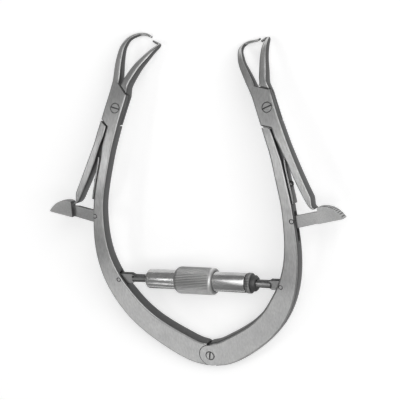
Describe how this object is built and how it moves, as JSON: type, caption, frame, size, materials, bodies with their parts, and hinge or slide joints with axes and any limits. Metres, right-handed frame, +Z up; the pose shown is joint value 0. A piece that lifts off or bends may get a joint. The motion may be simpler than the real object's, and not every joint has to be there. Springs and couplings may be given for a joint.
{
  "type": "self-retaining retractor",
  "caption": "Hinged U-shaped steel frame held open by a turnbuckle, with a cross-action tissue clamp, lever and latch at the end of each bowed arm.",
  "frame": {"origin": "centre of the bounding box's footprint, on the table the instrument stands on", "axes": "+Y from the hinge towards the clamps, +X from the left arm to the right arm seen from above, +Z up"},
  "size_m": [0.1544, 0.1622, 0.0231],
  "materials": {
    "satin_steel": "satin",
    "polished_steel": "polished",
    "spring_steel": "satin",
    "knurled_steel": "fine straight knurl"
  },
  "bodies": {
    "left_frame": {"left_arm": "satin_steel", "hinge_screw": "polished_steel", "left_clamp_screw": "polished_steel", "left_latch_pin": "polished_steel", "left_leaf_spring": "spring_steel", "left_spring_screw": "polished_steel", "left_spindle_pin": "polished_steel"},
    "right_frame": {"right_arm": "satin_steel", "right_clamp_screw": "polished_steel", "right_latch_pin": "polished_steel", "right_leaf_spring": "spring_steel", "right_spring_screw": "polished_steel", "right_spindle_pin": "polished_steel"},
    "left_clamp": {"left_clamp_lever": "satin_steel"},
    "right_clamp": {"right_clamp_lever": "satin_steel"},
    "left_catch": {"left_latch": "satin_steel"},
    "right_catch": {"right_latch": "satin_steel"},
    "left_rod": {"left_spindle": "polished_steel"},
    "nut_carriage": {"lock_nut": "knurled_steel"},
    "turnbuckle": {"turnbuckle_barrel": "polished_steel", "knurled_grip": "knurled_steel"},
    "right_rod": {"right_spindle": "polished_steel"}
  },
  "joints": [
    {"name": "turnbuckle_spin", "type": "hinge", "parent": "nut_carriage", "child": "turnbuckle", "pos_m": [0, -0.03745, 0.01476], "axis": [1, 0, 0], "range_deg": [-1720, 2405]},
    {"name": "frame_spread", "type": "hinge", "parent": "left_frame", "child": "right_frame", "pos_m": [0, -0.07499, 0.00437], "axis": [0, 0.2692, -0.9631], "range_deg": [-10, 14]},
    {"name": "left_rod_swing", "type": "hinge", "parent": "left_frame", "child": "left_rod", "pos_m": [-0.04305, -0.03745, 0.01476], "axis": [0, 0.2692, -0.9631], "range_deg": [-5, 7]},
    {"name": "nut_slide", "type": "slide", "parent": "left_rod", "child": "nut_carriage", "axis": [1, 0, 0], "range_m": [-0.0034, 0.0048]},
    {"name": "right_rod_slide", "type": "slide", "parent": "nut_carriage", "child": "right_rod", "axis": [1, 0, 0], "range_m": [-0.0034, 0.0048]},
    {"name": "left_clamp_open", "type": "hinge", "parent": "left_frame", "child": "left_clamp", "pos_m": [-0.0399, 0.04524, 0.01595], "axis": [0, -0.2094, -0.9778], "range_deg": [0, 10]},
    {"name": "right_clamp_open", "type": "hinge", "parent": "right_frame", "child": "right_clamp", "pos_m": [0.0399, 0.04524, 0.01595], "axis": [0, 0.2094, 0.9778], "range_deg": [0, 10]},
    {"name": "left_latch_swing", "type": "hinge", "parent": "left_frame", "child": "left_catch", "pos_m": [-0.0518, -0.00623, 0.01962], "axis": [0, -0.0688, 0.9976], "range_deg": [0, 40]},
    {"name": "right_latch_swing", "type": "hinge", "parent": "right_frame", "child": "right_catch", "pos_m": [0.0518, -0.00623, 0.01962], "axis": [0, 0.0688, -0.9976], "range_deg": [0, 40]}
  ],
  "couplings": [
    {"joint": "turnbuckle_spin", "follows": "frame_spread", "ratio": 171.44},
    {"joint": "left_rod_swing", "follows": "frame_spread", "ratio": 0.5},
    {"joint": "nut_slide", "follows": "frame_spread", "m_per_rad": 0.0191},
    {"joint": "right_rod_slide", "follows": "frame_spread", "m_per_rad": 0.0191},
    {"joint": "left_latch_swing", "follows": "left_clamp_open", "ratio": 4},
    {"joint": "right_latch_swing", "follows": "right_clamp_open", "ratio": 4}
  ]
}
